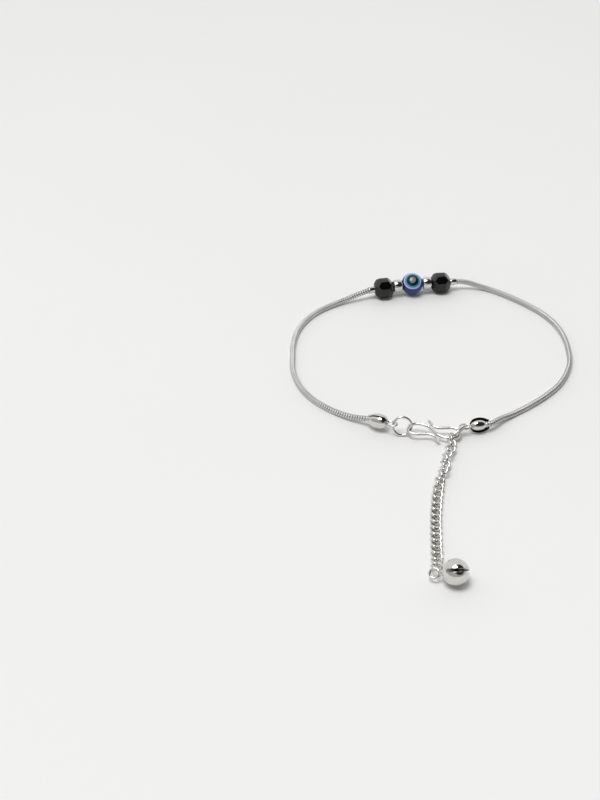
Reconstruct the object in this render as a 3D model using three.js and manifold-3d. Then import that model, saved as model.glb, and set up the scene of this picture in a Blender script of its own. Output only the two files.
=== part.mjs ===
// Beaded snake chain anklet with an S-hook clasp, a curb chain extender and a small bell,
// lying on a flat surface. Millimetres, +Z up, floor at z = 0.

import * as THREE from 'three';
import { mergeVertices } from 'three/addons/utils/BufferGeometryUtils.js';
import { ConvexGeometry } from 'three/addons/geometries/ConvexGeometry.js';
import Module from 'manifold-3d';

const wasm = await Module();
wasm.setup();

// Snake chain
const chainWidth = 1.4;
const chainCornerCut = 0.3;
const chainSteps = 80;

// Beads on the snake chain
const cubeSize = 5.5;
const cubeChamferSpan = 4.0;
const eyeBeadDiameter = 6.3;
const spacerDiameter = 3.8;
const spacerLength = 2.5;
const spacerRimWidth = 0.5;
const crimpDiameter = 2.35;
const crimpLength = 1.8;
const crimpRimWidth = 0.08;
const beadHoleClearance = 0.3;
const crimpHoleClearance = 0.28;
const beadGap = 0.12;

// Clamshell end caps
const capLength = 5.5;
const capDiameter = 4.1;
const capWall = 0.3;
const capCollarLength = 0.6;
const capCollarWall = 0.26;
const capSeamWidth = 0.45;
const capSeamLength = 4.4;
const capMouthClearance = 0.24;
const capLoopLength = 3.4;
const capLoopWidth = 2.6;
const capLoopWire = 0.5;
const leftCapSeamRoll = 108;
const rightCapSeamRoll = 125;
const chainEndInCap = 2.1;

// Jump ring, S-hook and connecting link
const jumpRingDiameter = 5.45;
const jumpRingWire = 0.66;
const jumpRingTilt = 70;
const hookWire = 0.8;
const hookTilt = 10.7;
const linkRoll = 61;
const linkWidth = 2.6;
const linkWire = 0.6;

// Curb chain extender
const curbWire = 0.68;
const curbWidth = 3.0;
const curbLinkLength = 3.62;
const curbFirstLinkLength = 4.0;
const curbTwist = -45;
const curbContact = 0.05;

// Bell
const bellDiameter = 6.4;
const bellWall = 0.3;
const bellSlotWidth = 0.75;
const bellSlotStart = 1.6;
const bellLoopDiameter = 2.85;
const bellLoopWire = 0.62;
const bellNeckLength = 0.35;
const bellNeckDiameter = 0.9;
const bellRoll = 41;
const pelletDiameter = 1.8;
const pelletClearance = 0.06;

// Mesh fineness, and how far a cut runs past the body that it goes through
const beadSides = 16;
const linkSides = 16;
const wireSides = 6;
const holeSides = 12;
const hookSteps = 60;
const bellSides = 20;
const bellRings = 14;
const pelletSides = 12;
const pelletRings = 8;
const cutOvershoot = 1;

// Route of the snake chain, its middle line, from the left cap round by the beads to the right cap
const strandRoute = [
  [-16.5, -3.3, 2.3], [-18.5, -2.2, 2.0], [-22.78, -0.1, 1.2], [-27.05, 2.9, 0.72], [-30.2, 5.6, 0.7],
  [-33.0, 8.8, 0.7], [-35.45, 12.9, 0.7], [-37.2, 17.8, 0.7], [-38.1, 23.0, 0.7], [-38.15, 29.0, 0.7],
  [-37.95, 35.0, 0.7], [-36.9, 41.0, 0.7], [-34.65, 46.6, 0.7], [-31.3, 51.3, 0.7], [-26.95, 55.0, 0.75],
  [-22.6, 57.4, 1.3], [-18.8, 58.9, 2.2], [-15.5, 60.1, 2.75], [-12.0, 61.1, 2.75], [-3.5, 62.9, 3.1],
  [5.1, 64.2, 2.75], [8.8, 64.8, 2.75], [12.4, 65.2, 2.3], [15.2, 65.0, 1.5], [18.0, 64.3, 0.9],
  [20.75, 62.8, 0.7], [23.8, 60.4, 0.7], [28.9, 55.6, 0.7], [33.15, 50.5, 0.7], [36.25, 44.4, 0.7],
  [37.7, 38.1, 0.7], [38.0, 32.0, 0.7], [37.6, 26.1, 0.7], [36.0, 20.6, 0.7], [33.25, 15.1, 0.7],
  [29.2, 10.1, 0.7], [24.3, 5.5, 0.7], [19.2, 1.45, 0.75], [16.35, -0.9, 1.3], [14.7, -2.8, 1.8],
  [13.0, -4.4, 2.1], [10.8, -4.9, 2.15],
];
const eyeBeadRoutePoint = 19;

// Route of the extender through the middles of its links, from the clasp to the bell
const extenderRoute = [
  [2.72, -9.56, 1.44], [2.1, -13.6, 1.52], [0.5, -18.2, 1.67], [-0.05, -21.8, 1.67], [-1.05, -24.9, 1.67],
  [-1.8, -27.8, 1.3], [-2.5, -31.6, 0.92], [-3.05, -36.0, 0.8], [-3.5, -40.5, 0.78], [-3.8, -45.5, 0.78],
  [-4.1, -51.4, 0.8], [-4.3, -56.0, 1.0], [-4.72, -59.49, 1.85],
];

// Roll of each link from the clasp in degrees, through one whole turn; the links after them lie flat
const extenderRolls = [-53, -45, -15, 30, 90, 150, 210, 275, 325, 352];
const flatRoll = 360;

// Middle line of half the S-hook in its own plane, from its centre out round one bend to the tip
const hookHalf = [
  [-1.5, 1.4], [-3.1, 1.95], [-5.0, 1.95], [-6.2, 1.25], [-6.6, 0], [-6.1, -1.2], [-4.7, -1.65],
  [-2.6, -1.4], [-0.9, -1.25], [0.2, -1.75], [1.1, -2.8], [1.6, -3.55],
];

// Places of the hard pieces where they lie
const jumpRingPlace = [-9.84, -6.08];
const hookPlace = [-1.84, -7.24, 1.89];
const hookHeading = -7;
const hookDip = 1;
const linkUpperEnd = [6.72, -5.73, 2.57];
const linkLowerEnd = [2.42, -8.93, 1.09];
const bellPlace = [-0.6, -62.92];
const bellLoopPlace = [-5.4, -62.1, 2.1];

const silver = { color: 0xd9d9d6, roughness: 0.12, metalness: 1 };
const chainSilver = { color: 0xb9b9b5, roughness: 0.3, metalness: 1 };
const blackGlass = { color: 0x151514, roughness: 0.08, metalness: 0 };
const blueResin = { color: 0x2b2f8a, roughness: 0.12, metalness: 0 };

const radians = THREE.MathUtils.degToRad;
const vector = (place) => new THREE.Vector3(...place);

// Only positions, with shared vertices merged and the faces pointing out
function welded(geometry) {
  const bare = geometry.clone();
  for (const name of ['normal', 'uv']) {
    bare.deleteAttribute(name);
  }
  const merged = mergeVertices(bare, 1e-4);
  const position = merged.attributes.position;
  const index = merged.index.array;
  const kept = [];
  let volume = 0;
  for (let i = 0; i < index.length; i += 3) {
    const [a, b, c] = [index[i], index[i + 1], index[i + 2]];
    if (a === b || b === c || c === a) {
      continue;
    }
    kept.push(a, b, c);
    const corners = [a, b, c].map((k) => new THREE.Vector3().fromBufferAttribute(position, k));
    volume += corners[0].dot(corners[1].cross(corners[2]));
  }
  merged.setIndex(volume < 0 ? kept.reverse() : kept);
  return merged;
}

function toSolid(geometry) {
  const mesh = welded(geometry);
  return new wasm.Manifold(new wasm.Mesh({
    numProp: 3,
    vertProperties: new Float32Array(mesh.attributes.position.array),
    triVerts: new Uint32Array(mesh.index.array),
  }));
}

function toGeometry(solid) {
  const mesh = solid.getMesh();
  const geometry = new THREE.BufferGeometry();
  geometry.setAttribute('position', new THREE.BufferAttribute(new Float32Array(mesh.vertProperties), 3));
  geometry.setIndex(new THREE.BufferAttribute(new Uint32Array(mesh.triVerts), 1));
  return geometry;
}

function makeMesh(name, geometry, look) {
  const mesh = new THREE.Mesh(geometry, new THREE.MeshStandardMaterial(look));
  mesh.geometry.computeVertexNormals();
  mesh.name = name;
  return mesh;
}

// The snake chain's middle line, which never sinks below half its own height
class StrandCurve extends THREE.Curve {
  constructor() {
    super();
    this.arcLengthDivisions = 1600;
    this.spline = new THREE.CatmullRomCurve3(strandRoute.map(vector), false, 'centripetal');
  }

  getPoint(t, target = new THREE.Vector3()) {
    this.spline.getPoint(t, target);
    target.z = Math.max(target.z, chainWidth / 2);
    return target;
  }

  // The flat of the chain stays level, whichever way it bends
  computeFrenetFrames(segments) {
    const frames = { tangents: [], normals: [], binormals: [] };
    for (let i = 0; i <= segments; i += 1) {
      const tangent = this.getTangentAt(i / segments);
      const across = new THREE.Vector3(0, 0, 1).cross(tangent).normalize();
      frames.tangents.push(tangent);
      frames.normals.push(across);
      frames.binormals.push(new THREE.Vector3().crossVectors(tangent, across));
    }
    return frames;
  }
}

const strand = new StrandCurve();

function strandLengthAt(routePoint) {
  const perSpan = 40;
  return strand.getLengths((strandRoute.length - 1) * perSpan)[routePoint * perSpan];
}

// Rounded square section of the snake chain
function chainSection() {
  const half = chainWidth / 2;
  const flat = half - chainCornerCut;
  const corners = [[half, flat], [flat, half], [-flat, half], [-half, flat],
    [-half, -flat], [-flat, -half], [flat, -half], [half, -flat]];
  return new THREE.Shape(corners.map(([x, y]) => new THREE.Vector2(x, y)));
}

function roundSection(diameter, sides) {
  const points = [];
  for (let i = 0; i < sides; i += 1) {
    const angle = (2 * Math.PI * i) / sides;
    points.push(new THREE.Vector2(Math.cos(angle), Math.sin(angle)).multiplyScalar(diameter / 2));
  }
  return new THREE.Shape(points);
}

function wireAlong(curve, diameter, steps) {
  return new THREE.ExtrudeGeometry(roundSection(diameter, wireSides), { steps, extrudePath: curve });
}

// Closed loop of wire in its own XY plane, twisted about X when a twist is given
class LoopCurve extends THREE.Curve {
  constructor(halfLength, halfWidth, twist = 0) {
    super();
    this.halfLength = halfLength;
    this.halfWidth = halfWidth;
    this.twist = twist;
  }

  getPoint(t, target = new THREE.Vector3()) {
    const angle = 2 * Math.PI * t;
    const across = this.halfWidth * Math.sin(angle);
    const turn = this.twist * Math.cos(angle);
    return target.set(this.halfLength * Math.cos(angle), across * Math.cos(turn), across * Math.sin(turn));
  }
}

function wireLoop(length, width, wire, twist = 0) {
  const curve = new LoopCurve((length - wire) / 2, (width - wire) / 2, twist);
  return new THREE.TubeGeometry(curve, linkSides, wire / 2, wireSides, true);
}

// Body turned about the X axis, from a profile of [along, radius] pairs
function turned(profile, sides) {
  const points = profile.map(([along, radius]) => new THREE.Vector2(radius, along));
  return new THREE.LatheGeometry(points, sides).rotateZ(-Math.PI / 2);
}

// Round bead with a hole along X, whose outline bulges from the rim to the full radius
function roundBead(diameter, length, rimRadius, holeRadius) {
  const arcSteps = 8;
  const profile = [];
  for (let i = 0; i <= arcSteps; i += 1) {
    const angle = Math.PI * (i / arcSteps);
    const bulge = Math.sin(angle);
    profile.push([(-length / 2) * Math.cos(angle), rimRadius + (diameter / 2 - rimRadius) * bulge]);
  }
  profile.push([length / 2, holeRadius], [-length / 2, holeRadius], profile[0]);
  return turned(profile, beadSides);
}

const beadHoleRadius = chainWidth / 2 + beadHoleClearance;

// Ball bead whose outline is cut off where the hole comes out
function ballBead(diameter, holeRadius) {
  const arcSteps = 9;
  const start = Math.asin(holeRadius / (diameter / 2));
  const profile = [];
  for (let i = 0; i <= arcSteps; i += 1) {
    const angle = start + (Math.PI - 2 * start) * (i / arcSteps);
    profile.push([-Math.cos(angle) * (diameter / 2), Math.sin(angle) * (diameter / 2)]);
  }
  profile.push(profile[0]);
  return turned(profile, beadSides);
}

const eyeBeadLength = 2 * Math.sqrt((eyeBeadDiameter / 2) ** 2 - beadHoleRadius ** 2);

// Cube whose twelve edges are cut away to six-sided facets
function cubeBead() {
  const half = cubeSize / 2;
  const inner = cubeChamferSpan - half;
  const corner = cubeChamferSpan / 2;
  const points = [];
  for (const x of [-1, 1]) {
    for (const y of [-1, 1]) {
      for (const z of [-1, 1]) {
        points.push(new THREE.Vector3(x * half, y * inner, z * inner));
        points.push(new THREE.Vector3(x * inner, y * half, z * inner));
        points.push(new THREE.Vector3(x * inner, y * inner, z * half));
        points.push(new THREE.Vector3(x * corner, y * corner, z * corner));
      }
    }
  }
  const cut = cubeSize + 2 * cutOvershoot;
  const hole = new THREE.CylinderGeometry(beadHoleRadius, beadHoleRadius, cut, holeSides);
  const body = toSolid(new ConvexGeometry(points)).subtract(toSolid(hole.rotateZ(Math.PI / 2)));
  return toGeometry(body);
}

// Puts a bead on the strand at a length along it, turned level with the strand's heading
function strungBead(name, geometry, look, length, height) {
  const share = length / strand.getLength();
  const place = strand.getPointAt(share);
  const heading = strand.getTangentAt(share);
  const mesh = makeMesh(name, geometry, look);
  mesh.position.set(place.x, place.y, height ?? place.z);
  mesh.rotation.z = Math.atan2(heading.y, heading.x);
  return mesh;
}

function makeBeads() {
  const spacerStep = eyeBeadLength / 2 + beadGap + spacerLength / 2;
  const cubeStep = spacerStep + spacerLength / 2 + beadGap + cubeSize / 2;
  const crimpStep = cubeStep + cubeSize / 2 + beadGap + crimpLength / 2;
  const middle = strandLengthAt(eyeBeadRoutePoint);
  const rim = beadHoleRadius + spacerRimWidth;
  const crimpHole = chainWidth / 2 + crimpHoleClearance;
  const beads = [
    strungBead('eye_bead', ballBead(eyeBeadDiameter, beadHoleRadius), blueResin, middle, eyeBeadDiameter / 2),
  ];
  for (const [side, way] of [['left', -1], ['right', 1]]) {
    const spacer = roundBead(spacerDiameter, spacerLength, rim, beadHoleRadius);
    const crimp = roundBead(crimpDiameter, crimpLength, crimpHole + crimpRimWidth, crimpHole);
    beads.push(strungBead(`spacer_bead_${side}`, spacer, silver, middle + way * spacerStep));
    beads.push(strungBead(`cube_bead_${side}`, cubeBead(), blackGlass, middle + way * cubeStep, cubeSize / 2));
    beads.push(strungBead(`crimp_bead_${side}`, crimp, silver, middle + way * crimpStep));
  }
  return beads;
}

// Hollow clamshell along X from its mouth at x = 0, split down its middle, with a wire loop at its end
function endCap(seamRoll) {
  const mouthRadius = chainWidth / 2 + capMouthClearance;
  const arcSteps = 7;
  const dome = (wall) => {
    const from = capCollarLength + wall;
    const to = capLength - wall;
    const collar = mouthRadius + capCollarWall - wall;
    const points = [];
    for (let i = 0; i <= arcSteps; i += 1) {
      const share = i / arcSteps;
      const bulge = Math.sin(Math.PI * share) * (capDiameter / 2 - wall - collar * (1 - share));
      points.push([from + (to - from) * (1 - Math.cos(Math.PI * share)) / 2,
        collar * (1 - share) + Math.max(bulge, 0)]);
    }
    return points;
  };
  const inside = dome(capWall).reverse();
  inside[inside.length - 1][1] = mouthRadius;
  inside[0][1] = 0;
  const outside = dome(0);
  outside[outside.length - 1][1] = 0;
  const mouth = [[0, mouthRadius], [0, mouthRadius + capCollarWall]];
  const shell = toSolid(turned([...inside, ...mouth, ...outside], beadSides));
  const seam = new THREE.BoxGeometry(capSeamLength + cutOvershoot, capDiameter + cutOvershoot, capSeamWidth);
  seam.translate((capSeamLength - cutOvershoot) / 2, 0, 0);
  seam.rotateX(seamRoll);
  const loop = wireLoop(capLoopLength, capLoopWidth, capLoopWire);
  loop.translate(capLength + capLoopLength / 2 - capLoopWire, 0, 0);
  return toGeometry(shell.subtract(toSolid(seam)).add(toSolid(loop)));
}

// Cap over one end of the strand, in line with it; way is 1 at the strand's start and -1 at its end
function makeCap(name, way, seamRoll) {
  const inside = chainEndInCap / strand.getLength();
  const share = way > 0 ? inside : 1 - inside;
  const cap = makeMesh(name, endCap(radians(seamRoll)), silver);
  const mouth = strand.getPointAt(share);
  return lieAlong(cap, mouth, strand.getPoint(way > 0 ? 0 : 1).sub(mouth), 0);
}

function makeJumpRing() {
  const ring = makeMesh('jump_ring', wireLoop(jumpRingDiameter, jumpRingDiameter, jumpRingWire), silver);
  const rise = ((jumpRingDiameter - jumpRingWire) / 2) * Math.sin(radians(jumpRingTilt));
  ring.position.set(...jumpRingPlace, rise + jumpRingWire / 2);
  ring.rotation.x = radians(jumpRingTilt);
  return ring;
}

function makeHook() {
  const half = hookHalf.map(([x, y]) => new THREE.Vector3(x, y, 0));
  const otherHalf = half.map((point) => point.clone().negate()).reverse();
  const curve = new THREE.CatmullRomCurve3([...otherHalf, ...half], false, 'centripetal');
  const hook = makeMesh('s_hook', wireAlong(curve, hookWire, hookSteps), silver);
  hook.position.copy(vector(hookPlace));
  hook.rotation.set(radians(hookTilt), radians(hookDip), radians(hookHeading), 'ZYX');
  return hook;
}

// Turns a loop's X axis along a heading, with its flat rolled about that heading
function lieAlong(object, place, heading, roll) {
  const along = heading.clone().normalize();
  const across = new THREE.Vector3(0, 0, 1).cross(along).normalize();
  const above = new THREE.Vector3().crossVectors(along, across);
  const turn = new THREE.Matrix4().makeBasis(along, across, above);
  turn.multiply(new THREE.Matrix4().makeRotationX(roll));
  turn.setPosition(place);
  object.applyMatrix4(turn);
  return object;
}

function makeConnectingLink() {
  const upper = vector(linkUpperEnd);
  const lower = vector(linkLowerEnd);
  const heading = lower.clone().sub(upper);
  const length = heading.length() + linkWire;
  const link = makeMesh('connecting_link', wireLoop(length, linkWidth, linkWire), silver);
  return lieAlong(link, upper.add(lower).multiplyScalar(0.5), heading, radians(linkRoll));
}

// Curb links along the route, each hooked through the last and fused with it where they touch;
// the first is longer, because the connecting link and the hook go through it too
function makeExtender() {
  const curve = new THREE.CatmullRomCurve3(extenderRoute.map(vector), false, 'centripetal');
  const pitch = curbLinkLength - 2 * curbWire + curbContact;
  const firstShare = (pitch + (curbFirstLinkLength - curbLinkLength) / 2) / curve.getLength();
  const count = Math.round(((1 - firstShare) * curve.getLength()) / pitch);
  let chain = null;
  for (let i = 0; i <= count + 1; i += 1) {
    const share = i === 0 ? 0 : firstShare + ((1 - firstShare) * (i - 1)) / count;
    const roll = radians(extenderRolls[i] ?? flatRoll);
    const length = i === 0 ? curbFirstLinkLength : curbLinkLength;
    const link = wireLoop(length, curbWidth, curbWire, radians(curbTwist));
    const solid = toSolid(lieAlong(link, curve.getPointAt(share), curve.getTangentAt(share), roll));
    chain = chain ? chain.add(solid) : solid;
  }
  return makeMesh('extender_chain', toGeometry(chain), silver);
}

function ballSolid(diameter) {
  return toSolid(new THREE.SphereGeometry(diameter / 2, bellSides, bellRings).rotateZ(Math.PI / 2));
}

// Bell along X, its loop on the low side and its slot running over the far end, above and below
function bellShell() {
  const outer = ballSolid(bellDiameter);
  const inner = ballSolid(bellDiameter - 2 * bellWall);
  const slotLength = bellSlotStart + bellDiameter / 2 + cutOvershoot;
  const slot = new THREE.BoxGeometry(slotLength, bellSlotWidth, bellDiameter + cutOvershoot);
  slot.translate(slotLength / 2 - bellSlotStart, 0, 0);
  const neckRadius = bellNeckDiameter / 2;
  const neckLength = bellNeckLength + bellWall + bellLoopWire / 2;
  const neck = new THREE.CylinderGeometry(neckRadius, neckRadius, neckLength, holeSides).rotateZ(Math.PI / 2);
  neck.translate(-(bellDiameter + bellNeckLength + bellLoopWire / 2 - bellWall) / 2, 0, 0);
  const loop = wireLoop(bellLoopDiameter, bellLoopDiameter, bellLoopWire);
  loop.translate(-(bellDiameter + bellLoopDiameter) / 2 - bellNeckLength, 0, 0);
  return toGeometry(outer.add(toSolid(neck)).subtract(inner).subtract(toSolid(slot)).add(toSolid(loop)));
}

function makeBell() {
  const centre = new THREE.Vector3(...bellPlace, bellDiameter / 2);
  const heading = centre.clone().sub(vector(bellLoopPlace));
  return lieAlong(makeMesh('bell', bellShell(), silver), centre, heading, radians(bellRoll));
}

function makePellet() {
  const ball = new THREE.SphereGeometry(pelletDiameter / 2, pelletSides, pelletRings);
  const pellet = makeMesh('bell_pellet', ball, silver);
  pellet.position.set(...bellPlace, bellWall + pelletClearance + pelletDiameter / 2);
  return pellet;
}

function makeSnakeChain() {
  const tube = new THREE.ExtrudeGeometry(chainSection(), { steps: chainSteps, extrudePath: strand });
  return makeMesh('snake_chain', tube, chainSilver);
}

const anklet = new THREE.Group();
anklet.add(makeSnakeChain());
anklet.add(...makeBeads());
anklet.add(makeCap('end_cap_left', 1, leftCapSeamRoll));
anklet.add(makeCap('end_cap_right', -1, rightCapSeamRoll));
anklet.add(makeJumpRing());
anklet.add(makeHook());
anklet.add(makeConnectingLink());
anklet.add(makeExtender());
anklet.add(makeBell());
anklet.add(makePellet());

// The origin is on the surface that the anklet lies on, under the middle of its box
const box = new THREE.Box3().setFromObject(anklet, true);
const middle = box.getCenter(new THREE.Vector3());
anklet.position.set(-middle.x, -middle.y, -box.min.z);

export default anklet;
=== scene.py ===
# Payal anklet lying on a pale floor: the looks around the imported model. Metres, +Z up.
import math

import bmesh
import bpy
from mathutils import Matrix, Vector


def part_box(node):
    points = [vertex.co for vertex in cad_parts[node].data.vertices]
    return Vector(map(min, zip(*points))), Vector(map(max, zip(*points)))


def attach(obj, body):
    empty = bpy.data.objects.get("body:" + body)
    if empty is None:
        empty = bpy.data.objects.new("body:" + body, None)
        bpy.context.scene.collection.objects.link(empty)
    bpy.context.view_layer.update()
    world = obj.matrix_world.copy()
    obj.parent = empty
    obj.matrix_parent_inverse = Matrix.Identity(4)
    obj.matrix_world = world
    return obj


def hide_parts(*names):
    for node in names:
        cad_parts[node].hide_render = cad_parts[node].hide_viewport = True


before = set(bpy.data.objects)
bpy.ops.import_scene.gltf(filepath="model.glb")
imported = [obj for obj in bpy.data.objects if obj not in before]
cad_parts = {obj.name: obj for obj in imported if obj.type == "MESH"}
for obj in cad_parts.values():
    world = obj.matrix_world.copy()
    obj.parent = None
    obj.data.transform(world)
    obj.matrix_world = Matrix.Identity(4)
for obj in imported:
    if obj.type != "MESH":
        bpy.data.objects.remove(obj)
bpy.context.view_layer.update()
mm = 0.001

# Route of the snake chain's middle line in millimetres, the same chosen points as in the model
strandRoute = [
    (-16.5, -3.3, 2.3), (-18.5, -2.2, 2.0), (-22.78, -0.1, 1.2), (-27.05, 2.9, 0.72), (-30.2, 5.6, 0.7),
    (-33.0, 8.8, 0.7), (-35.45, 12.9, 0.7), (-37.2, 17.8, 0.7), (-38.1, 23.0, 0.7), (-38.15, 29.0, 0.7),
    (-37.95, 35.0, 0.7), (-36.9, 41.0, 0.7), (-34.65, 46.6, 0.7), (-31.3, 51.3, 0.7), (-26.95, 55.0, 0.75),
    (-22.6, 57.4, 1.3), (-18.8, 58.9, 2.2), (-15.5, 60.1, 2.75), (-12.0, 61.1, 2.75), (-3.5, 62.9, 3.1),
    (5.1, 64.2, 2.75), (8.8, 64.8, 2.75), (12.4, 65.2, 2.3), (15.2, 65.0, 1.5), (18.0, 64.3, 0.9),
    (20.75, 62.8, 0.7), (23.8, 60.4, 0.7), (28.9, 55.6, 0.7), (33.15, 50.5, 0.7), (36.25, 44.4, 0.7),
    (37.7, 38.1, 0.7), (38.0, 32.0, 0.7), (37.6, 26.1, 0.7), (36.0, 20.6, 0.7), (33.25, 15.1, 0.7),
    (29.2, 10.1, 0.7), (24.3, 5.5, 0.7), (19.2, 1.45, 0.75), (16.35, -0.9, 1.3), (14.7, -2.8, 1.8),
    (13.0, -4.4, 2.1), (10.8, -4.9, 2.15),
]

# Route of the extender through the middles of its links, from the clasp to the bell
extenderRoute = [
    (2.72, -9.56, 1.44), (2.1, -13.6, 1.52), (0.5, -18.2, 1.67), (-0.05, -21.8, 1.67), (-1.05, -24.9, 1.67),
    (-1.8, -27.8, 1.3), (-2.5, -31.6, 0.92), (-3.05, -36.0, 0.8), (-3.5, -40.5, 0.78), (-3.8, -45.5, 0.78),
    (-4.1, -51.4, 0.8), (-4.3, -56.0, 1.0), (-4.72, -59.49, 1.85),
]

# Middle line of half the S-hook in its own plane, from its centre out round one bend to the tip
hookHalf = [
    (-1.5, 1.4), (-3.1, 1.95), (-5.0, 1.95), (-6.2, 1.25), (-6.6, 0), (-6.1, -1.2), (-4.7, -1.65),
    (-2.6, -1.4), (-0.9, -1.25), (0.2, -1.75), (1.1, -2.8), (1.6, -3.55),
]


# Routes

def spanPoint(points, i, t):
    # One point of a centripetal Catmull-Rom curve, t of the way from point i to the next
    before = points[i - 1] if i > 0 else 2 * points[0] - points[1]
    after = points[i + 2] if i + 2 < len(points) else 2 * points[-1] - points[-2]
    a, b = points[i], points[i + 1]
    gaps = [math.sqrt((q - p).length) for p, q in ((before, a), (a, b), (b, after))]
    leave = ((a - before) / gaps[0] - (b - before) / (gaps[0] + gaps[1]) + (b - a) / gaps[1]) * gaps[1]
    arrive = ((b - a) / gaps[1] - (after - a) / (gaps[1] + gaps[2]) + (after - b) / gaps[2]) * gaps[1]
    cubed = 2 * t ** 3 - 3 * t ** 2
    return (a * (cubed + 1) + leave * (t ** 3 - 2 * t ** 2 + t)
            - b * cubed + arrive * (t ** 3 - t ** 2))


def smoothRoute(points, lowest=None, perSpan=24):
    # The curve as a fine row of (length so far, place)
    points = [Vector(p) * mm for p in points]
    row = []
    for i in range(len(points) - 1):
        for k in range(perSpan + (i == len(points) - 2)):
            place = spanPoint(points, i, k / perSpan)
            if lowest is not None:
                place.z = max(place.z, lowest)
            length = row[-1][0] + (place - row[-1][1]).length if row else 0.0
            row.append((length, place))
    return row


def stationAt(row, length):
    # Place and heading at a length along a route
    length = min(max(length, 0.0), row[-1][0])
    high = next(i for i in range(1, len(row)) if row[i][0] >= length - 1e-12)
    (l0, p0), (l1, p1) = row[high - 1], row[high]
    share = (length - l0) / (l1 - l0)
    ahead = row[min(high + 1, len(row) - 1)][1] - p0
    behind = p1 - row[max(high - 2, 0)][1]
    return p0.lerp(p1, share), behind.lerp(ahead, share).normalized()


def middleOf(places):
    low = Vector([min(p[k] for p in places) for k in range(3)])
    high = Vector([max(p[k] for p in places) for k in range(3)])
    return (low + high) / 2


def boxMiddle(node):
    low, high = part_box(node)
    return (Vector(low) + Vector(high)) / 2


# The model's origin is under the middle of its box, so the routes move there with the chain's own box
snake = {
    'width': 1.398 * mm,
    'pitch': 0.72 * mm,          # plate to plate, coarser than the real 0.45 mm, which is too fine to show
    'grooveDepth': 0.12 * mm,
    'wave': 0.16 * mm,           # how far a plate's corners lag behind the middles of its sides
    'sides': 24,
    'squareness': 3.2,
    # painted light: the value below lifts the painted groove shade along the middles of the chain's four faces
    'paintedGrooveLight': 0.3,            # how much lighter a groove is along the middles of the chain's sides
}
strand = smoothRoute(strandRoute, lowest=snake['width'] / 2)
routeShift = boxMiddle('snake_chain') - middleOf([place for _, place in strand])
routeShift.z = 0
strand = [(length, place + routeShift) for length, place in strand]
extender = [(length, place + routeShift) for length, place in smoothRoute(extenderRoute)]


def lieAlong(place, heading, roll=0.0):
    # Turns a shape's X axis along a heading, its flat rolled about that heading
    along = heading.normalized()
    across = Vector((0, 0, 1)).cross(along).normalized()
    turn = Matrix((along, across, along.cross(across))).transposed().to_4x4()
    return Matrix.Translation(place) @ turn @ Matrix.Rotation(roll, 4, 'X')


# Small modelling steps that several pieces share

def turnedShape(profile, steps=48, closed=True):
    # Spins a profile of (along, radius) pairs about the X axis
    bm = bmesh.new()
    verts = [bm.verts.new((along, radius, 0)) for along, radius in profile]
    pairs = list(zip(verts, verts[1:])) + ([(verts[-1], verts[0])] if closed else [])
    edges = [bm.edges.new(pair) for pair in pairs]
    bmesh.ops.spin(bm, geom=verts + edges, cent=(0, 0, 0), axis=(1, 0, 0), dvec=(0, 0, 0),
                   angle=2 * math.pi, steps=steps, use_merge=True, use_duplicate=False)
    bmesh.ops.remove_doubles(bm, verts=bm.verts, dist=0.001 * mm)
    bmesh.ops.recalc_face_normals(bm, faces=bm.faces)
    return bm


def sweepWire(bm, stations, diameter, sides=12, closed=False, tipLength=0.0):
    # Extrudes a round section from station to station, each a matrix whose X axis is the wire's heading
    ring = bmesh.ops.create_circle(bm, cap_ends=False, segments=sides, radius=diameter / 2)['verts']
    upright = Matrix.Rotation(math.pi / 2, 4, 'Y')
    bmesh.ops.transform(bm, matrix=stations[0] @ upright, verts=ring)
    firstRing = ring
    edges = list({edge for vert in ring for edge in vert.link_edges})
    ends = []
    if not closed:
        ends.append((list(edges), -1))
    for before, after in zip(stations, stations[1:]):
        made = bmesh.ops.extrude_edge_only(bm, edges=edges)['geom']
        ring = [item for item in made if isinstance(item, bmesh.types.BMVert)]
        edges = [item for item in made if isinstance(item, bmesh.types.BMEdge)
                 and all(vert in ring for vert in item.verts)]
        bmesh.ops.transform(bm, matrix=after @ before.inverted(), verts=ring)
    if closed:
        made = firstRing + ring
        bmesh.ops.bridge_loops(bm, edges=edges + [edge for edge in firstEdges(firstRing)])
        return made
    ends.append((edges, 1))
    for (rim, way), station in zip(ends, (stations[0], stations[-1])):
        roundTip(bm, rim, station, way, tipLength)
    return None


def firstEdges(ring):
    wanted = set(ring)
    return [edge for edge in {e for vert in ring for e in vert.link_edges} if set(edge.verts) <= wanted]


def roundTip(bm, edges, station, way, tipLength, steps=4):
    # Closes a wire's end with a dome as long as tipLength
    heading = (station.to_3x3() @ Vector((1, 0, 0))).normalized()
    centre = station.translation
    reached, shrunk = 0.0, 1.0
    for k in range(1, steps):
        if tipLength <= 0:
            break
        angle = math.pi / 2 * k / steps
        made = bmesh.ops.extrude_edge_only(bm, edges=edges)['geom']
        ring = [item for item in made if isinstance(item, bmesh.types.BMVert)]
        edges = [item for item in made if isinstance(item, bmesh.types.BMEdge)
                 and all(vert in ring for vert in item.verts)]
        size = math.cos(angle) / shrunk
        around = Matrix.Translation(centre + heading * way * reached)
        bmesh.ops.scale(bm, vec=(size, size, size), space=around.inverted(), verts=ring)
        step = tipLength * math.sin(angle) - reached
        bmesh.ops.translate(bm, vec=heading * way * step, verts=ring)
        reached += step
        shrunk = math.cos(angle)
    bmesh.ops.holes_fill(bm, edges=edges, sides=0)


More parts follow.
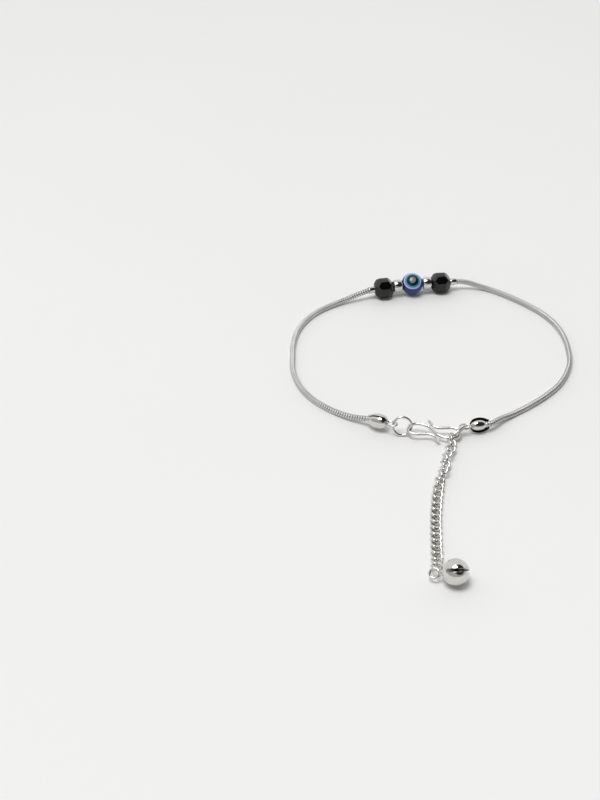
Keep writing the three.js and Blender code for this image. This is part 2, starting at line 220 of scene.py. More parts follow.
def ovalStations(length, width, wire, steps, twist=0.0, opening=0.0):
    # Stations round an oval link in its own XY plane, with a small opening for a cut ring
    halfLength, halfWidth = (length - wire) / 2, (width - wire) / 2

    def at(angle):
        turn = twist * math.cos(angle)
        across = halfWidth * math.sin(angle)
        return Vector((halfLength * math.cos(angle), across * math.cos(turn), across * math.sin(turn)))

    stations = []
    count = steps if opening == 0 else steps + 1
    for k in range(count):
        angle = opening / 2 + (2 * math.pi - opening) * k / steps
        heading = (at(angle + 0.01) - at(angle - 0.01)).normalized()
        outward = at(angle).normalized()
        side = (outward - heading * outward.dot(heading)).normalized()
        turn = Matrix((heading, side, heading.cross(side))).transposed().to_4x4()
        stations.append(Matrix.Translation(at(angle)) @ turn)
    return stations


def placeShape(bm, matrix):
    bmesh.ops.transform(bm, matrix=matrix, verts=bm.verts)


def finishPiece(bm, node, material, sharpAngle=38):
    bmesh.ops.recalc_face_normals(bm, faces=bm.faces)
    mesh = bpy.data.meshes.new(node + '_look')
    bm.to_mesh(mesh)
    bm.free()
    mesh.shade_smooth()
    mesh.set_sharp_from_angle(angle=math.radians(sharpAngle))
    mesh.materials.append(material)
    piece = bpy.data.objects.new(node + '_look', mesh)
    bpy.context.scene.collection.objects.link(piece)
    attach(piece, 'root')
    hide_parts(node)
    return piece


# Materials

def linearColour(hexText):
    channels = [int(hexText[k:k + 2], 16) / 255 for k in (0, 2, 4)]
    return [c / 12.92 if c <= 0.04045 else ((c + 0.055) / 1.055) ** 2.4 for c in channels] + [1.0]


def addNode(tree, kind, settings=None, links=None):
    node = tree.nodes.new(kind)
    for name, value in (settings or {}).items():
        if isinstance(name, str) and name in node.bl_rna.properties:
            setattr(node, name, value)
        else:
            node.inputs[name].default_value = value
    for name, source in (links or {}).items():
        tree.links.new(source, node.inputs[name])
    return node


def newMaterial(name):
    material = bpy.data.materials.new(name)
    material.use_nodes = True
    tree = material.node_tree
    tree.nodes.clear()
    shader = addNode(tree, 'ShaderNodeBsdfPrincipled')
    addNode(tree, 'ShaderNodeOutputMaterial', links={'Surface': shader.outputs[0]})
    return material, tree, shader


def colourRamp(tree, stops, source, interpolation='LINEAR'):
    ramp = addNode(tree, 'ShaderNodeValToRGB', links={0: source})
    ramp.color_ramp.interpolation = interpolation
    while len(ramp.color_ramp.elements) < len(stops):
        ramp.color_ramp.elements.new(0.5)
    for element, (position, colour) in zip(ramp.color_ramp.elements, stops):
        element.position = position
        element.color = linearColour(colour) if isinstance(colour, str) else (colour, colour, colour, 1)
    return ramp.outputs[0]


def makeSilverPlate(name):
    # Silver plate over brass, tumbled bright: near-mirror, slightly warm grey, with faint haze and hairlines
    material, tree, shader = newMaterial(name)
    place = addNode(tree, 'ShaderNodeTexCoord').outputs['Object']
    haze = addNode(tree, 'ShaderNodeTexNoise', {'Scale': 1 / (1.6 * mm), 'Detail': 3.0}, {'Vector': place})
    tint = colourRamp(tree, [(0.3, 'd2d1cc'), (0.7, 'e0dfda')], haze.outputs[0])
    tree.links.new(tint, shader.inputs['Base Color'])
    stretch = addNode(tree, 'ShaderNodeMapping', {'Scale': (1.0, 0.12, 0.5)}, {'Vector': place})
    hairlines = addNode(tree, 'ShaderNodeTexNoise', {'Scale': 1 / (0.12 * mm), 'Detail': 2.0},
                        {'Vector': stretch.outputs[0]})
    rough = addNode(tree, 'ShaderNodeMapRange', {'To Min': 0.07, 'To Max': 0.17}, {'Value': haze.outputs[0]})
    tree.links.new(rough.outputs[0], shader.inputs['Roughness'])
    bump = addNode(tree, 'ShaderNodeBump', {'Strength': 0.12, 'Distance': 0.01 * mm},
                   {'Height': hairlines.outputs[0]})
    tree.links.new(bump.outputs[0], shader.inputs['Normal'])
    shader.inputs['Metallic'].default_value = 1.0
    return material


def makeCapPlate():
    # The same plate, duller inside the pressed cups and darkened there with painted shade
    material = makeSilverPlate('pressedCupSilverPlate')
    tree = material.node_tree
    shader = next(node for node in tree.nodes if node.type == 'BSDF_PRINCIPLED')
    paintedInsideShade = addNode(tree, 'ShaderNodeAttribute', {'attribute_name': 'paintedInsideShade'}).outputs['Fac']
    # 1d1c1a is painted shade on the cups' inner faces; 0.6 is their roughness
    for name, inside in (('Base Color', linearColour('1d1c1a')), ('Roughness', 0.6)):
        plated = shader.inputs[name].links[0].from_socket
        blend = addNode(tree, 'ShaderNodeMix', {'data_type': 'RGBA' if name == 'Base Color' else 'FLOAT'})
        first = 6 if name == 'Base Color' else 2
        tree.links.new(paintedInsideShade, blend.inputs[0])
        tree.links.new(plated, blend.inputs[first])
        blend.inputs[first + 1].default_value = inside
        tree.links.new(blend.outputs[2 if name == 'Base Color' else 0], shader.inputs[name])
    return material


def makeSnakePlate():
    # Silver-plated snake chain: bright along each plate's crest, darker and duller down in the grooves, where
    # the darkness is painted shade between the plates, partly tarnish
    material, tree, shader = newMaterial('ribbedSnakeChainPlate')
    # the crest attribute is 1 on the plates' crests and 0 in the grooves, where the groove tint paints shade
    crestVsGrooveShade = addNode(tree, 'ShaderNodeAttribute', {'attribute_name': 'crestVsGrooveShade'}).outputs['Fac']
    place = addNode(tree, 'ShaderNodeTexCoord').outputs['Object']
    wear = addNode(tree, 'ShaderNodeTexNoise', {'Scale': 1 / (2.5 * mm), 'Detail': 3.0}, {'Vector': place})
    crestTint = colourRamp(tree, [(0.35, 'd6d6d1'), (0.65, 'e2e2de')], wear.outputs[0])
    # painted shade in the grooves between plates, partly tarnish
    paintedGrooveShadeTint = colourRamp(tree, [(0.35, '2c2c29'), (0.65, '3b3b37')], wear.outputs[0])
    tint = addNode(tree, 'ShaderNodeMix', {'data_type': 'RGBA'})
    tree.links.new(crestVsGrooveShade, tint.inputs[0])
    tree.links.new(paintedGrooveShadeTint, tint.inputs[6])
    tree.links.new(crestTint, tint.inputs[7])
    tree.links.new(tint.outputs[2], shader.inputs['Base Color'])
    rough = addNode(tree, 'ShaderNodeMapRange', {'To Min': 0.5, 'To Max': 0.36}, {'Value': crestVsGrooveShade})
    tree.links.new(rough.outputs[0], shader.inputs['Roughness'])
    shader.inputs['Metallic'].default_value = 1.0
    return material


def makeBlackGlass():
    # Pressed and polished black glass: opaque, deep, with tumbling scuffs that only the gloss shows
    material, tree, shader = newMaterial('polishedBlackGlass')
    place = addNode(tree, 'ShaderNodeTexCoord').outputs['Object']
    cloud = addNode(tree, 'ShaderNodeTexNoise', {'Scale': 1 / (1.8 * mm), 'Detail': 2.0}, {'Vector': place})
    tint = colourRamp(tree, [(0.35, '050505'), (0.65, '0b0b0a')], cloud.outputs[0])
    tree.links.new(tint, shader.inputs['Base Color'])
    scuffs = addNode(tree, 'ShaderNodeTexNoise', {'Scale': 1 / (0.35 * mm), 'Detail': 5.0}, {'Vector': place})
    rough = addNode(tree, 'ShaderNodeMapRange', {'From Min': 0.4, 'From Max': 0.75, 'To Min': 0.03,
                                                 'To Max': 0.16}, {'Value': scuffs.outputs[0]})
    tree.links.new(rough.outputs[0], shader.inputs['Roughness'])
    shader.inputs['IOR'].default_value = 1.49
    return material


eye = {
    'elevation': math.radians(54),     # the painted eye looks up and to the front, its twin down and back
    'aside': math.radians(-10),        # and a little to the left of square to the chain
    'pupil': 18, 'dark': 34, 'blue': 46, 'rim': 53,   # outer edges of the painted rings in degrees
}


def makeEyeResin(centre, axis):
    # Cast cobalt resin with two dropped-on eyes: white, light blue, navy and a grey-black pupil, all glossy
    material, tree, shader = newMaterial('castEyeResin')
    place = addNode(tree, 'ShaderNodeTexCoord').outputs['Object']
    out = addNode(tree, 'ShaderNodeVectorMath', {'operation': 'SUBTRACT', 1: centre}, {0: place})
    wobble = addNode(tree, 'ShaderNodeTexNoise', {'Scale': 1 / (1.5 * mm), 'Detail': 1.0}, {'Vector': place})
    way = addNode(tree, 'ShaderNodeVectorMath', {'operation': 'NORMALIZE'}, {0: out.outputs[0]})
    facing = addNode(tree, 'ShaderNodeVectorMath', {'operation': 'DOT_PRODUCT', 1: axis},
                     {0: way.outputs[0]})
    either = addNode(tree, 'ShaderNodeMath', {'operation': 'ABSOLUTE'}, {0: facing.outputs['Value']})
    angle = addNode(tree, 'ShaderNodeMath', {'operation': 'ARCCOSINE'}, {0: either.outputs[0]})
    share = addNode(tree, 'ShaderNodeMath', {'operation': 'MULTIPLY', 1: 2 / math.pi}, {0: angle.outputs[0]})
    drift = addNode(tree, 'ShaderNodeMapRange', {'To Min': -0.03, 'To Max': 0.03},
                    {'Value': wobble.outputs[0]})
    spread = addNode(tree, 'ShaderNodeMath', {'operation': 'ADD'}, {0: share.outputs[0], 1: drift.outputs[0]})
    edge = 0.008
    pupil, dark, blue, rim = [eye[ring] / 90 for ring in ('pupil', 'dark', 'blue', 'rim')]
    painted = colourRamp(tree, [
        (0.0, '7d7f74'), (pupil - edge, '858981'), (pupil + edge, '0a1e2a'), (dark - edge, '0b2531'),
        (dark + edge, '3f86ac'), (blue - edge, '5ea6cf'), (blue + edge, 'c3d6f2'), (rim - edge, 'a9c1e8'),
        (rim + edge, '2a2c78'),
    ], spread.outputs[0])
    swirl = addNode(tree, 'ShaderNodeTexNoise', {'Scale': 1 / (3.0 * mm), 'Detail': 2.0}, {'Vector': place})
    depth = colourRamp(tree, [(0.35, '232766'), (0.5, '2b2d80'), (0.65, '33358c')], swirl.outputs[0])
    body = addNode(tree, 'ShaderNodeMath', {'operation': 'GREATER_THAN', 1: rim + edge},
                   {0: spread.outputs[0]})
    tint = addNode(tree, 'ShaderNodeMix', {'data_type': 'RGBA'})
    tree.links.new(body.outputs[0], tint.inputs[0])
    tree.links.new(painted, tint.inputs[6])
    tree.links.new(depth, tint.inputs[7])
    tree.links.new(tint.outputs[2], shader.inputs['Base Color'])
    relief = colourRamp(tree, [(pupil, 1.0), (pupil + 0.02, 0.8), (dark, 0.75), (dark + 0.02, 0.5),
                               (rim, 0.4), (rim + 0.03, 0.0)], spread.outputs[0])
    bump = addNode(tree, 'ShaderNodeBump', {'Strength': 0.5, 'Distance': 0.06 * mm}, {'Height': relief})
    tree.links.new(bump.outputs[0], shader.inputs['Normal'])
    shader.inputs['Roughness'].default_value = 0.12
    shader.inputs['IOR'].default_value = 1.5
    return material


silverPlate = makeSilverPlate('tumbledSilverPlate')
capPlate = makeCapPlate()
snakePlate = makeSnakePlate()
blackGlass = makeBlackGlass()
print('materials made')


# Snake chain: one skin whose rings rise over each plate and sink into the groove before the next

def makeSnakeChain():
    bm = bmesh.new()
    crestVsGrooveShade = bm.verts.layers.float.new('crestVsGrooveShade')
    half = snake['width'] / 2
    groove = 1 - snake['grooveDepth'] / half
    # third value of each ring: 1 on a plate's crest, 0 down in the groove, where the material paints shade
    rings = [(0.0, groove, 0.0), (0.16, groove, 0.0), (0.28, 0.98, 0.85),
             (0.58, 1.0, 1.0), (0.88, 0.98, 0.85)]
    total = strand[-1][0]
    plates = round(total / snake['pitch'])
    pitch = total / plates
    ring = bmesh.ops.create_circle(bm, cap_ends=False, segments=snake['sides'], radius=1.0)['verts']
    bmesh.ops.rotate(bm, cent=(0, 0, 0), matrix=Matrix.Rotation(math.pi / 2, 3, 'Y'), verts=ring)
    # painted light: the groove shade is lifted toward the middle of each of the section's four faces
    paintedGrooveLight = []
    for vert in ring:
        paintedGrooveLight.append(snake['paintedGrooveLight'] * (1 + math.cos(4 * math.atan2(vert.co.z, vert.co.y))) / 2)
        across, above = abs(vert.co.y), abs(vert.co.z)
        power = snake['squareness']
        size = half / (across ** power + above ** power) ** (1 / power)
        lag = snake['wave'] * math.cos(4 * math.atan2(vert.co.z, vert.co.y))
        vert.co = Vector((lag, vert.co.y * size, vert.co.z * size))
    edges = firstEdges(ring)
    bmesh.ops.holes_fill(bm, edges=edges, sides=0)
    before = Matrix.Identity(4)
    steps = [(plate + share, size, height) for plate in range(plates) for share, size, height in rings]
    steps.append((plates, groove, 0.0))
    for k, (count, size, height) in enumerate(steps):
        place, heading = stationAt(strand, count * pitch)
        after = lieAlong(place, heading) @ Matrix.Diagonal((1.0, size, size, 1.0))
        if k:
            made = bmesh.ops.extrude_edge_only(bm, edges=edges)['geom']
            ring = [item for item in made if isinstance(item, bmesh.types.BMVert)]
            edges = firstEdges(ring)
        bmesh.ops.transform(bm, matrix=after @ before.inverted(), verts=ring)
        # crest attribute: crests unshaded, grooves take painted shade, less of it where the painted side light
        # lifts it
        for vert, light in zip(ring, paintedGrooveLight):
            vert[crestVsGrooveShade] = height + (1 - height) * light
        before = after
    bmesh.ops.holes_fill(bm, edges=edges, sides=0)
    return finishPiece(bm, 'snake_chain', snakePlate, sharpAngle=60)


makeSnakeChain()
print('snake chain made')


# Beads

def headingNear(place):
    # Level heading of the strand where a bead sits
    nearest = min(strand, key=lambda station: (station[1] - place).length)
    heading = stationAt(strand, nearest[0])[1]
    return Vector((heading.x, heading.y, 0)).normalized()


def strungBead(bm, node, material, sharpAngle=38, turn=0.0):
    place = boxMiddle(node)
    placeShape(bm, lieAlong(place, headingNear(place)) @ Matrix.Rotation(turn, 4, 'Z'))
    return finishPiece(bm, node, material, sharpAngle)


eyeBead = {'diameter': 6.25 * mm, 'hole': 1.0 * mm, 'holeRound': 0.18 * mm, 'sides': 96}


def makeEyeBead():
    radius, hole, lip = eyeBead['diameter'] / 2, eyeBead['hole'], eyeBead['holeRound']
    start = math.asin((hole + lip) / radius)
    arc = [start + (math.pi - 2 * start) * k / 40 for k in range(41)]
    profile = [(-radius * math.cos(a), radius * math.sin(a)) for a in arc]
    end = profile[-1][0]
    mouth = [(end + lip * 0.05, hole + lip * 0.45), (end - lip * 0.35, hole + lip * 0.1), (end - lip, hole)]
    profile += mouth + [(-along, r) for along, r in reversed(mouth)]
    centre = boxMiddle('eye_bead')
    heading = headingNear(centre)
    level = math.cos(eye['elevation'])
    front = Matrix.Rotation(eye['aside'], 3, 'Z') @ Vector((heading.y, -heading.x, 0))
    axis = front * level + Vector((0, 0, math.sin(eye['elevation'])))
    bm = turnedShape(profile, steps=eyeBead['sides'])
    strungBead(bm, 'eye_bead', makeEyeResin(centre, axis))


cube = {
    'size': 5.48 * mm, 'chamferSpan': 3.9 * mm, 'edgeRound': 0.06 * mm, 'hole': 1.0 * mm,
    'turn': {'left': math.radians(-3), 'right': math.radians(-4)},   # how loosely each sits on the chain
}


def makeCubeBead(node, turn):
    half = cube['size'] / 2
    bm = bmesh.new()
    bmesh.ops.create_cube(bm, size=cube['size'])
    cuts = [(x, y, 0) for x in (-1, 1) for y in (-1, 1)]
    cuts += [(x, 0, z) for x in (-1, 1) for z in (-1, 1)]
    cuts += [(0, y, z) for y in (-1, 1) for z in (-1, 1)]
    for cut in cuts:
        out = Vector(cut).normalized()
        made = bmesh.ops.bisect_plane(bm, geom=bm.verts[:] + bm.edges[:] + bm.faces[:], dist=1e-7,
                                      plane_co=out * cube['chamferSpan'] / math.sqrt(2), plane_no=out,
                                      clear_outer=True)
        rim = [item for item in made['geom_cut'] if isinstance(item, bmesh.types.BMEdge)]
        bmesh.ops.holes_fill(bm, edges=rim, sides=0)
    bmesh.ops.remove_doubles(bm, verts=bm.verts, dist=0.002 * mm)
    bmesh.ops.dissolve_limit(bm, angle_limit=math.radians(1), verts=bm.verts, edges=bm.edges)
    bmesh.ops.bevel(bm, geom=bm.edges[:], offset=cube['edgeRound'], segments=3, profile=0.5,
                    affect='EDGES', material=-1)
    ends = [face for face in bm.faces if abs(face.normal.x) > 0.999]
    bmesh.ops.inset_individual(bm, faces=ends, thickness=0.12 * mm)
    bmesh.ops.subdivide_edges(bm, edges=[edge for face in ends for edge in face.edges], cuts=5)
    rims = []
    for face in ends:
        for vert in face.verts:
            flat = Vector((0, vert.co.y, vert.co.z)).normalized() * cube['hole']
            vert.co = Vector((math.copysign(half, vert.co.x), flat.y, flat.z))
        rims += list(face.edges)
    bmesh.ops.delete(bm, geom=ends, context='FACES_ONLY')
    bmesh.ops.bridge_loops(bm, edges=rims)
    strungBead(bm, node, blackGlass, sharpAngle=50, turn=turn)


spacer = {'diameter': 3.8 * mm, 'length': 2.5 * mm, 'rim': 1.5 * mm, 'hole': 1.0 * mm, 'sides': 64}
crimp = {'diameter': 2.0 * mm, 'length': 1.7 * mm, 'rim': 0.93 * mm, 'hole': 0.85 * mm, 'sides': 48}


def makeRoundBead(node, sizes):
    # Barrel that bulges from a rolled rim, with a rounded mouth at both ends
    halfLength = sizes['length'] / 2
    arc = [math.pi * k / 28 for k in range(29)]
    bulge = sizes['diameter'] / 2 - sizes['rim']
    profile = [(-halfLength * math.cos(a), sizes['rim'] + bulge * math.sin(a)) for a in arc]
    lip = (sizes['rim'] - sizes['hole']) / 2
    turn = [math.pi * k / 6 for k in range(1, 6)]
    mouth = [(halfLength + lip * 0.3 * math.sin(a), sizes['hole'] + lip * (1 + math.cos(a))) for a in turn]
    profile += mouth + [(halfLength * 0.8, sizes['hole']), (-halfLength * 0.8, sizes['hole'])]
    profile += [(-along, radius) for along, radius in reversed(mouth)]
    strungBead(turnedShape(profile, steps=sizes['sides']), node, silverPlate)


makeEyeBead()
for side in ('left', 'right'):
    makeCubeBead('cube_bead_' + side, cube['turn'][side])
    makeRoundBead('spacer_bead_' + side, spacer)
    makeRoundBead('crimp_bead_' + side, crimp)
print('beads made')


# Clamshell end caps: two thin bowls pinched round the chain's end, and the wire loop they hang from

cap = {
    'length': 5.5 * mm, 'diameter': 4.0 * mm, 'wall': 0.2 * mm, 'collar': 0.6 * mm,
    'mouth': 1.18 * mm,          # outer radius of the collar
    'gap': 0.46 * mm, 'flatten': 0.85, 'lip': 0.3 * mm, 'lipDroop': 0.5,
    'loopLength': 3.4 * mm, 'loopWidth': 2.6 * mm, 'loopWire': 0.5 * mm,
    'chainInside': 2.1 * mm,
    'lidStart': 0.95 * mm,       # the right cap's smaller cup, pinched into the other
    'lidEnd': 5.3 * mm, 'lidWidth': 2.7 * mm, 'lidMouth': 0.1 * mm,
    'tip': 0.02 * mm,            # radius left open at a cup's closed end
    'seamStart': 0.2 * mm,       # length of a cup's edge that stays without a lip
    'flat': 1e-6, 'below': 0.1 * mm, 'inward': -0.3,   # limits that tell the seam, the side and the inner faces
    'rows': 24, 'turnSteps': 24,
}


def halfCap(start, end, mouth, width, lip):
    # One pressed cup: half a turn of its outline from start to end, with its seam edge turned out to a lip
    collar = start + (cap['collar'] if start == 0 else 0)
    outline = [(start, mouth), (start + cap['collar'] / 2, mouth)] if start == 0 else []
    for k in range(cap['rows'] + 1):
        share = k / cap['rows']
        rest = mouth * (1 - share)
        bulge = math.sin(math.pi * share) * (width / 2 - rest)
        outline.append((collar + (end - collar) * (1 - math.cos(math.pi * share)) / 2,
                        max(rest + bulge, cap['tip'])))
    bm = bmesh.new()
    verts = [bm.verts.new((along, radius, 0)) for along, radius in outline]
    edges = [bm.edges.new(pair) for pair in zip(verts, verts[1:])]
    bmesh.ops.spin(bm, geom=verts + edges, cent=(0, 0, 0), axis=(1, 0, 0), dvec=(0, 0, 0),
                   angle=math.pi, steps=cap['turnSteps'], use_merge=False, use_duplicate=False)
    if min(vert.co.z for vert in bm.verts) < -cap['below']:
        bmesh.ops.rotate(bm, cent=(0, 0, 0), matrix=Matrix.Rotation(math.pi, 3, 'X'), verts=bm.verts)
    bmesh.ops.scale(bm, vec=(1, 1, cap['flatten']), verts=bm.verts)
    seam = [edge for edge in bm.edges
            if edge.is_boundary and all(abs(v.co.z) < cap['flat'] for v in edge.verts)
            and min(v.co.x for v in edge.verts) > start + cap['seamStart']]
    for way in (-1, 1):
        side = [edge for edge in seam if lip and all(v.co.y * way > 0 for v in edge.verts)]
        made = bmesh.ops.extrude_edge_only(bm, edges=side)['geom']
        for vert in [item for item in made if isinstance(item, bmesh.types.BMVert)]:
            share = (vert.co.x - start) / (end - start)
            reach = lip * math.sqrt(max(math.sin(math.pi * share), 0))
            bmesh.ops.translate(bm, vec=(0, way * reach, -cap['lipDroop'] * reach), verts=[vert])
    bmesh.ops.recalc_face_normals(bm, faces=bm.faces)
    top = max(bm.faces, key=lambda face: face.calc_center_median().z)
    if top.normal.z < 0:
        bmesh.ops.reverse_faces(bm, faces=bm.faces)
    bmesh.ops.solidify(bm, geom=bm.faces[:], thickness=cap['wall'])
    # the inner faces carry the mask for the painted shade inside the cups
    paintedInsideShade = bm.verts.layers.float.new('paintedInsideShade')
    for face in bm.faces:
        outward = face.calc_center_median()
        outward.x = 0
        if face.normal.dot(outward.normalized()) < cap['inward']:
            for vert in face.verts:
                vert[paintedInsideShade] = 1
    bmesh.ops.translate(bm, vec=(0, 0, cap['gap'] / 2 + (cap['wall'] if lip else 0)), verts=bm.verts)
    return bm


def makeCap(node, atStart, seamRoll, lidded):
    # Two cups of one size, or a smaller one in a lipped one, which lie across each other's seam
    total = strand[-1][0]
    mouth = stationAt(strand, cap['chainInside'] if atStart else total - cap['chainInside'])[0]
    end = strand[0][1] if atStart else strand[-1][1]
    bm = bmesh.new()
    cup = (0.0, cap['length'], cap['mouth'], cap['diameter'], 0.0)
    lippedCup = (0.0, cap['length'], cap['mouth'], cap['diameter'] - 2 * cap['lip'], cap['lip'])
    lid = (cap['lidStart'], cap['lidEnd'], cap['lidMouth'], cap['lidWidth'], 0.0)
    for turn, shape in ((0.0, lippedCup if lidded else cup), (math.pi, lid if lidded else cup)):
        half = halfCap(*shape)
        placeShape(half, Matrix.Rotation(seamRoll + turn, 4, 'X'))
        shell = bpy.data.meshes.new('capHalf')
        half.to_mesh(shell)
        half.free()
        bm.from_mesh(shell)
        bpy.data.meshes.remove(shell)
    shift = Matrix.Translation((cap['length'] + cap['loopLength'] / 2 - cap['loopWire'], 0, 0))
    oval = ovalStations(cap['loopLength'], cap['loopWidth'], cap['loopWire'], 48)
    sweepWire(bm, [shift @ station for station in oval], cap['loopWire'], closed=True)
    placeShape(bm, lieAlong(mouth, end - mouth))
    finishPiece(bm, node, capPlate, sharpAngle=45)


makeCap('end_cap_left', True, math.radians(108), lidded=False)
makeCap('end_cap_right', False, math.radians(125), lidded=True)
print('end caps made')


# Jump ring, S-hook and connecting link, of round wire

jumpRing = {
    'diameter': 5.45 * mm, 'wire': 0.66 * mm, 'tilt': math.radians(70), 'cut': 0.05 * mm, 'cutAt': 200,
}


def makeJumpRing():
    radius = (jumpRing['diameter'] - jumpRing['wire']) / 2
    stations = ovalStations(jumpRing['diameter'], jumpRing['diameter'], jumpRing['wire'], 96,
                            opening=jumpRing['cut'] / radius)
    bm = bmesh.new()
    sweepWire(bm, stations, jumpRing['wire'], sides=20, tipLength=0.0)
    placeShape(bm, Matrix.Rotation(math.radians(jumpRing['cutAt']), 4, 'Z'))
    placeShape(bm, Matrix.Translation(boxMiddle('jump_ring')) @ Matrix.Rotation(jumpRing['tilt'], 4, 'X'))
    finishPiece(bm, 'jump_ring', silverPlate, sharpAngle=50)


hook = {
    'wire': 0.8 * mm, 'place': (-1.84, -7.24, 1.89),
    'tilt': math.radians(10.7), 'dip': math.radians(1), 'heading': math.radians(-7),
}


def makeHook():
    half = [(x, y, 0) for x, y in hookHalf]
    path = smoothRoute([(-x, -y, 0) for x, y, _ in reversed(half)] + half)
    tip = hook['wire'] * 0.4
    count = 110
    stations = []
    for k in range(count + 1):
        place, heading = stationAt(path, tip + (path[-1][0] - 2 * tip) * k / count)
        stations.append(lieAlong(place, heading))
    bm = bmesh.new()
    sweepWire(bm, stations, hook['wire'], sides=20, tipLength=tip)
    turn = (Matrix.Rotation(hook['heading'], 4, 'Z') @ Matrix.Rotation(hook['dip'], 4, 'Y')
            @ Matrix.Rotation(hook['tilt'], 4, 'X'))
    placeShape(bm, Matrix.Translation(Vector(hook['place']) * mm + routeShift) @ turn)
    finishPiece(bm, 's_hook', silverPlate, sharpAngle=50)


connector = {
    'upperEnd': (6.72, -5.73, 2.57), 'lowerEnd': (2.42, -8.93, 1.09),
    'roll': math.radians(61), 'width': 2.6 * mm, 'wire': 0.6 * mm,
}


def makeConnector():
    upper, lower = Vector(connector['upperEnd']) * mm, Vector(connector['lowerEnd']) * mm
    length = (lower - upper).length + connector['wire']
    bm = bmesh.new()
    sweepWire(bm, ovalStations(length, connector['width'], connector['wire'], 72), connector['wire'],
              sides=18, closed=True)
    placeShape(bm, lieAlong((upper + lower) / 2 + routeShift, lower - upper, connector['roll']))
    finishPiece(bm, 'connecting_link', silverPlate)


makeJumpRing()
makeHook()
makeConnector()
print('clasp made')


# Curb chain extender: twisted ovals, each through the one before

curb = {
    'wire': 0.68 * mm, 'width': 3.0 * mm, 'length': 3.62 * mm, 'firstLength': 4.0 * mm, 'contact': 0.05 * mm,
    'twist': math.radians(-45),
    'rolls': (-53, -45, -15, 30, 90, 150, 210, 275, 325, 352),   # degrees, through one whole turn; then flat
    'sides': 12, 'steps': 40,
}


def makeExtender():
    total = extender[-1][0]
    pitch = curb['length'] - 2 * curb['wire'] + curb['contact']
    firstStep = pitch + (curb['firstLength'] - curb['length']) / 2
    count = round((total - firstStep) / pitch)
    bm = bmesh.new()
    for k in range(count + 2):
        along = firstStep + (total - firstStep) * (k - 1) / count if k else 0.0
        place, heading = stationAt(extender, along)
        roll = math.radians(curb['rolls'][k]) if k < len(curb['rolls']) else 0.0
        lay = lieAlong(place, heading, roll)
        length = curb['length'] if k else curb['firstLength']
        oval = ovalStations(length, curb['width'], curb['wire'], curb['steps'], curb['twist'])
        sweepWire(bm, [lay @ station for station in oval], curb['wire'], sides=curb['sides'], closed=True)
    finishPiece(bm, 'extender_chain', silverPlate)


makeExtender()
print('extender made')


# Bell: a thin ball with a lipped slot over its end, a short neck, a soldered loop and the pellet inside

bell = {
    'diameter': 6.38 * mm, 'wall': 0.3 * mm, 'slot': 0.75 * mm, 'slotStart': 1.6 * mm, 'edgeRound': 0.07 * mm,
    'loopPlace': (-5.4, -62.1, 2.1), 'roll': math.radians(41),
    'loopDiameter': 2.85 * mm, 'loopWire': 0.62 * mm, 'neck': 0.35 * mm, 'neckWidth': 0.9 * mm,
    'pellet': 1.8 * mm,
}


def makeBell():
    radius, halfSlot = bell['diameter'] / 2, bell['slot'] / 2
    bm = bmesh.new()
    bmesh.ops.create_uvsphere(bm, u_segments=72, v_segments=48, radius=radius)
    bmesh.ops.rotate(bm, cent=(0, 0, 0), matrix=Matrix.Rotation(math.pi / 2, 3, 'Y'), verts=bm.verts)
    cuts = [((0, halfSlot, 0), (0, 1, 0)), ((0, -halfSlot, 0), (0, 1, 0)),
            ((-bell['slotStart'], 0, 0), (1, 0, 0))]
    for place, way in cuts:
        bmesh.ops.bisect_plane(bm, geom=bm.verts[:] + bm.edges[:] + bm.faces[:], dist=1e-8,
                               plane_co=place, plane_no=way)
    slot = [face for face in bm.faces if abs(face.calc_center_median().y) < halfSlot
            and face.calc_center_median().x > -bell['slotStart']]
    bmesh.ops.delete(bm, geom=slot, context='FACES')
    bmesh.ops.recalc_face_normals(bm, faces=bm.faces)
    bmesh.ops.solidify(bm, geom=bm.faces[:], thickness=bell['wall'])
    bmesh.ops.recalc_face_normals(bm, faces=bm.faces)
    sharp = [edge for edge in bm.edges if len(edge.link_faces) == 2
             and edge.calc_face_angle(0) > math.radians(50)]
    bmesh.ops.bevel(bm, geom=sharp, offset=bell['edgeRound'], segments=2, profile=0.5, affect='EDGES',
                    material=-1)
    neckLength = bell['neck'] + bell['wall'] + bell['loopWire'] / 2
    neck = (Matrix.Translation((-radius - neckLength / 2 + bell['wall'], 0, 0))
            @ Matrix.Rotation(math.pi / 2, 4, 'Y'))
    bmesh.ops.create_cone(bm, cap_ends=True, segments=24, radius1=bell['neckWidth'] / 2,
                          radius2=bell['neckWidth'] * 0.62, depth=neckLength, matrix=neck)
    shift = Matrix.Translation((-radius - bell['neck'] - bell['loopDiameter'] / 2, 0, 0))
    oval = ovalStations(bell['loopDiameter'], bell['loopDiameter'], bell['loopWire'], 56)
    sweepWire(bm, [shift @ station for station in oval], bell['loopWire'], sides=16, closed=True)
    low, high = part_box('bell')
    centre = boxMiddle('bell_pellet')
    centre.z = (low[2] + high[2]) / 2
    loop = Vector(bell['loopPlace']) * mm + routeShift
    placeShape(bm, lieAlong(centre, centre - loop, bell['roll']))
    finishPiece(bm, 'bell', silverPlate, sharpAngle=60)


def makePellet():
    bm = bmesh.new()
    bmesh.ops.create_icosphere(bm, subdivisions=4, radius=bell['pellet'] / 2)
    placeShape(bm, Matrix.Translation(boxMiddle('bell_pellet')))
    finishPiece(bm, 'bell_pellet', silverPlate)


makeBell()
makePellet()
print('bell made')


# Camera, floor and light

camera = {
    'place': (-36.1, -341.0, 249.7), 'target': (-36.1, 9.1, 0.0),   # millimetres, before the origin's shift
    'lens': 48.67, 'sensorHeight': 24.0,
}


def makeCamera():
    data = bpy.data.cameras.new('camera')
    data.sensor_fit = 'VERTICAL'
    data.sensor_height = camera['sensorHeight']
    data.lens = camera['lens']
    data.clip_start = 0.01
    view = bpy.data.objects.new('camera', data)
    place = Vector(camera['place']) * mm + routeShift
    target = Vector(camera['target']) * mm + routeShift
    view.location = place
    view.rotation_euler = (target - place).to_track_quat('-Z', 'Y').to_euler()
    bpy.context.scene.collection.objects.link(view)
    bpy.context.scene.camera = view


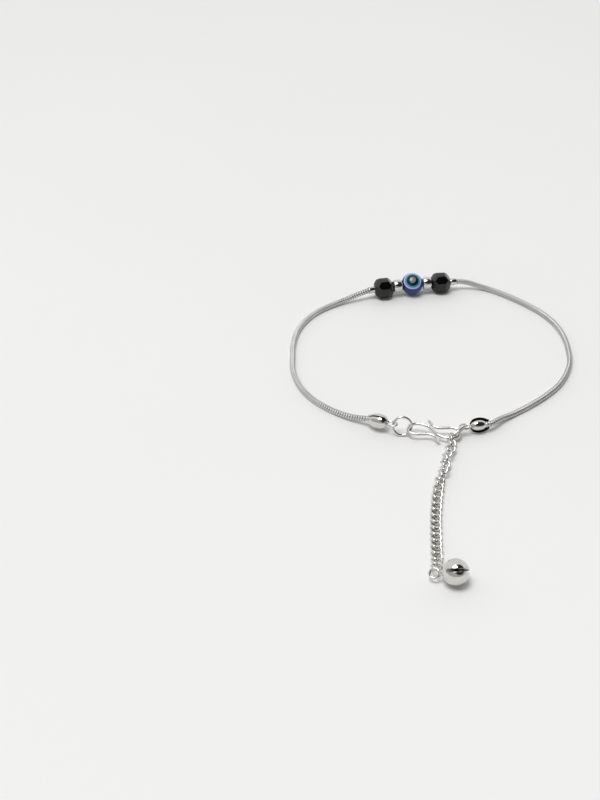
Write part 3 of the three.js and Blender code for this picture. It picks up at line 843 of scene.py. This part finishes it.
def makeFloor():
    # Matt white laminate board
    material, tree, shader = newMaterial('mattWhiteBoard')
    place = addNode(tree, 'ShaderNodeTexCoord').outputs['Object']
    cloud = addNode(tree, 'ShaderNodeTexNoise', {'Scale': 6.0, 'Detail': 2.0}, {'Vector': place})
    tint = colourRamp(tree, [(0.3, 'f1f1f0'), (0.7, 'f3f3f2')], cloud.outputs[0])
    tree.links.new(tint, shader.inputs['Base Color'])
    shader.inputs['Roughness'].default_value = 0.7
    bm = bmesh.new()
    bmesh.ops.create_grid(bm, x_segments=1, y_segments=1, size=0.8)
    mesh = bpy.data.meshes.new('floor')
    bm.to_mesh(mesh)
    bm.free()
    mesh.materials.append(material)
    floor = bpy.data.objects.new('floor', mesh)
    bpy.context.scene.collection.objects.link(floor)


def addSoftBox(name, place, target, size, watts):
    data = bpy.data.lights.new(name, 'AREA')
    data.shape = 'SQUARE'
    data.size = size
    data.energy = watts
    light = bpy.data.objects.new(name, data)
    light.location = place
    light.rotation_euler = (Vector(target) - Vector(place)).to_track_quat('-Z', 'Y').to_euler()
    bpy.context.scene.collection.objects.link(light)


studio = {
    'back': 0.82, 'side': 0.45, 'dark': 0.025,
    'darkWay': (0.4, -0.4, 0.82),     # middle of the unlit part of the room, over the camera and to its right
    'darkReach': 44,                  # its reach round that way in degrees
}


def makeRoom():
    # White paper behind and above, greyer sides and the unlit room beyond the camera, for the silver to mirror
    world = bpy.data.worlds.new('studioRoom')
    bpy.context.scene.world = world
    world.use_nodes = True
    tree = world.node_tree
    tree.nodes.clear()
    way = addNode(tree, 'ShaderNodeTexCoord').outputs['Generated']
    depth = addNode(tree, 'ShaderNodeVectorMath', {'operation': 'DOT_PRODUCT', 1: (0, 0.8, 0.6)},
                    {0: way}).outputs['Value']
    room = colourRamp(tree, [(0.0, studio['side']), (0.15, studio['side']), (0.5, studio['back']),
                             (1.0, studio['back'])], depth)
    toward = addNode(tree, 'ShaderNodeVectorMath', {'operation': 'DOT_PRODUCT', 1: studio['darkWay']},
                     {0: way}).outputs['Value']
    edge = math.cos(math.radians(studio['darkReach']))
    dark = colourRamp(tree, [(edge - 0.05, 0.0), (edge + 0.05, 1.0)], toward)
    colour = addNode(tree, 'ShaderNodeMix', {'data_type': 'RGBA'})
    tree.links.new(dark, colour.inputs[0])
    tree.links.new(room, colour.inputs[6])
    colour.inputs[7].default_value = (studio['dark'],) * 3 + (1.0,)
    background = addNode(tree, 'ShaderNodeBackground', {'Strength': 1.0}, {'Color': colour.outputs[2]})
    addNode(tree, 'ShaderNodeOutputWorld', links={'Surface': background.outputs[0]})


makeCamera()
makeFloor()
makeRoom()
addSoftBox('overheadSoftBox', (-0.28, -0.2, 1.66), (0, 0, 0), 0.84, 16.6)
bpy.context.scene.view_settings.view_transform = 'Standard'
print('stage made')
